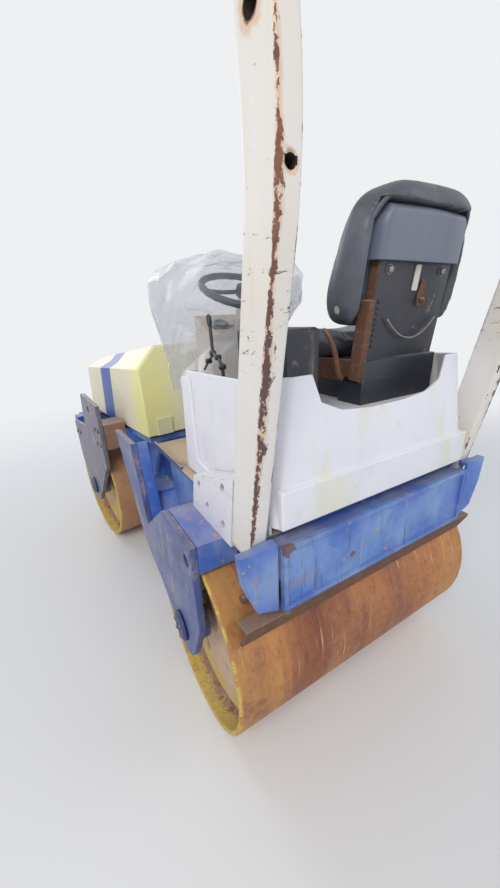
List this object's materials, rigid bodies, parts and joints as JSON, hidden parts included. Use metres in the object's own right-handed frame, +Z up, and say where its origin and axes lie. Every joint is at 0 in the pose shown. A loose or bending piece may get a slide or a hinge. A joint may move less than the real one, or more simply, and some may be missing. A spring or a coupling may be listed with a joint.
{
  "type": "ride-on tandem road roller",
  "caption": "Small ride-on articulated tandem road roller with two smooth steel drums, roll-over frame, open driver's place and faceted engine hood.",
  "frame": {"origin": "on the ground below the middle of the whole machine as parked", "axes": "+X forwards along the rear half, +Y to the machine's left, +Z up"},
  "size_m": [2.2495, 1.194, 2.39],
  "materials": {
    "blue": "worn blue paint with scratches and rust",
    "white": "white paint, dusty, rust at edges",
    "cream": "cream and yellow paint with a blue band",
    "rust": "rusty orange brown rolled steel",
    "drum_yellow": "worn yellow paint, dusty",
    "grey_steel": "worn grey brown paint",
    "black": "matt black",
    "vinyl": "dark grey vinyl",
    "beige": "beige plastic",
    "steel": "bare steel",
    "sheet": "clear thin plastic sheet",
    "engine": "dark casting"
  },
  "bodies": {
    "rear_frame": {"chair_back": "vinyl", "chair_cover": "black", "chair_cushion": "vinyl", "chair_frame": "black", "dust_sheet": "sheet", "hand_lever": "black", "lever_console": "black", "pivot_pin": "steel", "rear_arm_left": "blue", "rear_arm_right": "blue", "rear_chassis": "blue", "rear_corners": "blue", "rear_hub_caps": "blue", "rear_panel": "blue", "rear_platform": "blue", "rear_scraper": "rust", "rear_spray_bar": "black", "rops_crossbar": "white", "rops_feet": "white", "rops_post_left": "white", "rops_post_right": "white", "steering_console": "beige", "steering_wheel": "black", "tub": "white"},
    "rear_drum": {"rear_drum_shell": "rust", "rear_drum_ends": "drum_yellow"},
    "front_drum": {"front_drum_shell": "rust", "front_drum_ends": "drum_yellow"},
    "pivot_link": {"pivot_link": "grey_steel"},
    "steer_barrel": {"steer_barrel": "grey_steel"},
    "steer_rod": {"steer_rod": "steel"},
    "hood": {"hood_shell": "cream", "hood_handle": "cream"},
    "front_frame": {"front_chassis": "grey_steel", "front_arm_left": "grey_steel", "front_arm_right": "grey_steel", "front_hub_caps": "blue", "front_panel": "blue", "front_scraper": "rust", "front_spray_bar": "black", "engine_block": "engine"}
  },
  "joints": [
    {"name": "rear_drum_roll", "type": "hinge", "parent": "rear_frame", "child": "rear_drum", "pos_m": [-0.67464, -0.05305, 0.34], "axis": [0, 1, 0], "continuous": true},
    {"name": "steering", "type": "hinge", "parent": "rear_frame", "child": "pivot_link", "pos_m": [0.02536, -0.05305, 0.47], "axis": [0, 0, 1], "range_deg": [-38, 22]},
    {"name": "frame_rocking", "type": "hinge", "parent": "pivot_link", "child": "front_frame", "pos_m": [0.22341, -0.02521, 0.47], "axis": [0.9903, 0.1392, 0], "range_deg": [-6, 6]},
    {"name": "front_drum_roll", "type": "hinge", "parent": "front_frame", "child": "front_drum", "pos_m": [0.71855, 0.04437, 0.34], "axis": [-0.1392, 0.9903, 0], "continuous": true},
    {"name": "hood_hinge", "type": "hinge", "parent": "front_frame", "child": "hood", "pos_m": [1.02751, 0.08779, 0.762], "axis": [-0.1392, 0.9903, 0], "range_deg": [0, 55]},
    {"name": "cylinder_swing", "type": "hinge", "parent": "rear_frame", "child": "steer_barrel", "pos_m": [-0.24264, -0.16505, 0.47], "axis": [0, 0, 1], "range_deg": [-1.22, 0.83]},
    {"name": "cylinder_stroke", "type": "slide", "parent": "steer_barrel", "child": "steer_rod", "axis": [0.9998, -0.0174, 0], "range_m": [-0.0791, 0.0462]}
  ],
  "couplings": [
    {"joint": "cylinder_swing", "follows": "steering", "ratio": 0.0242},
    {"joint": "cylinder_stroke", "follows": "steering", "m_per_rad": 0.1177}
  ]
}
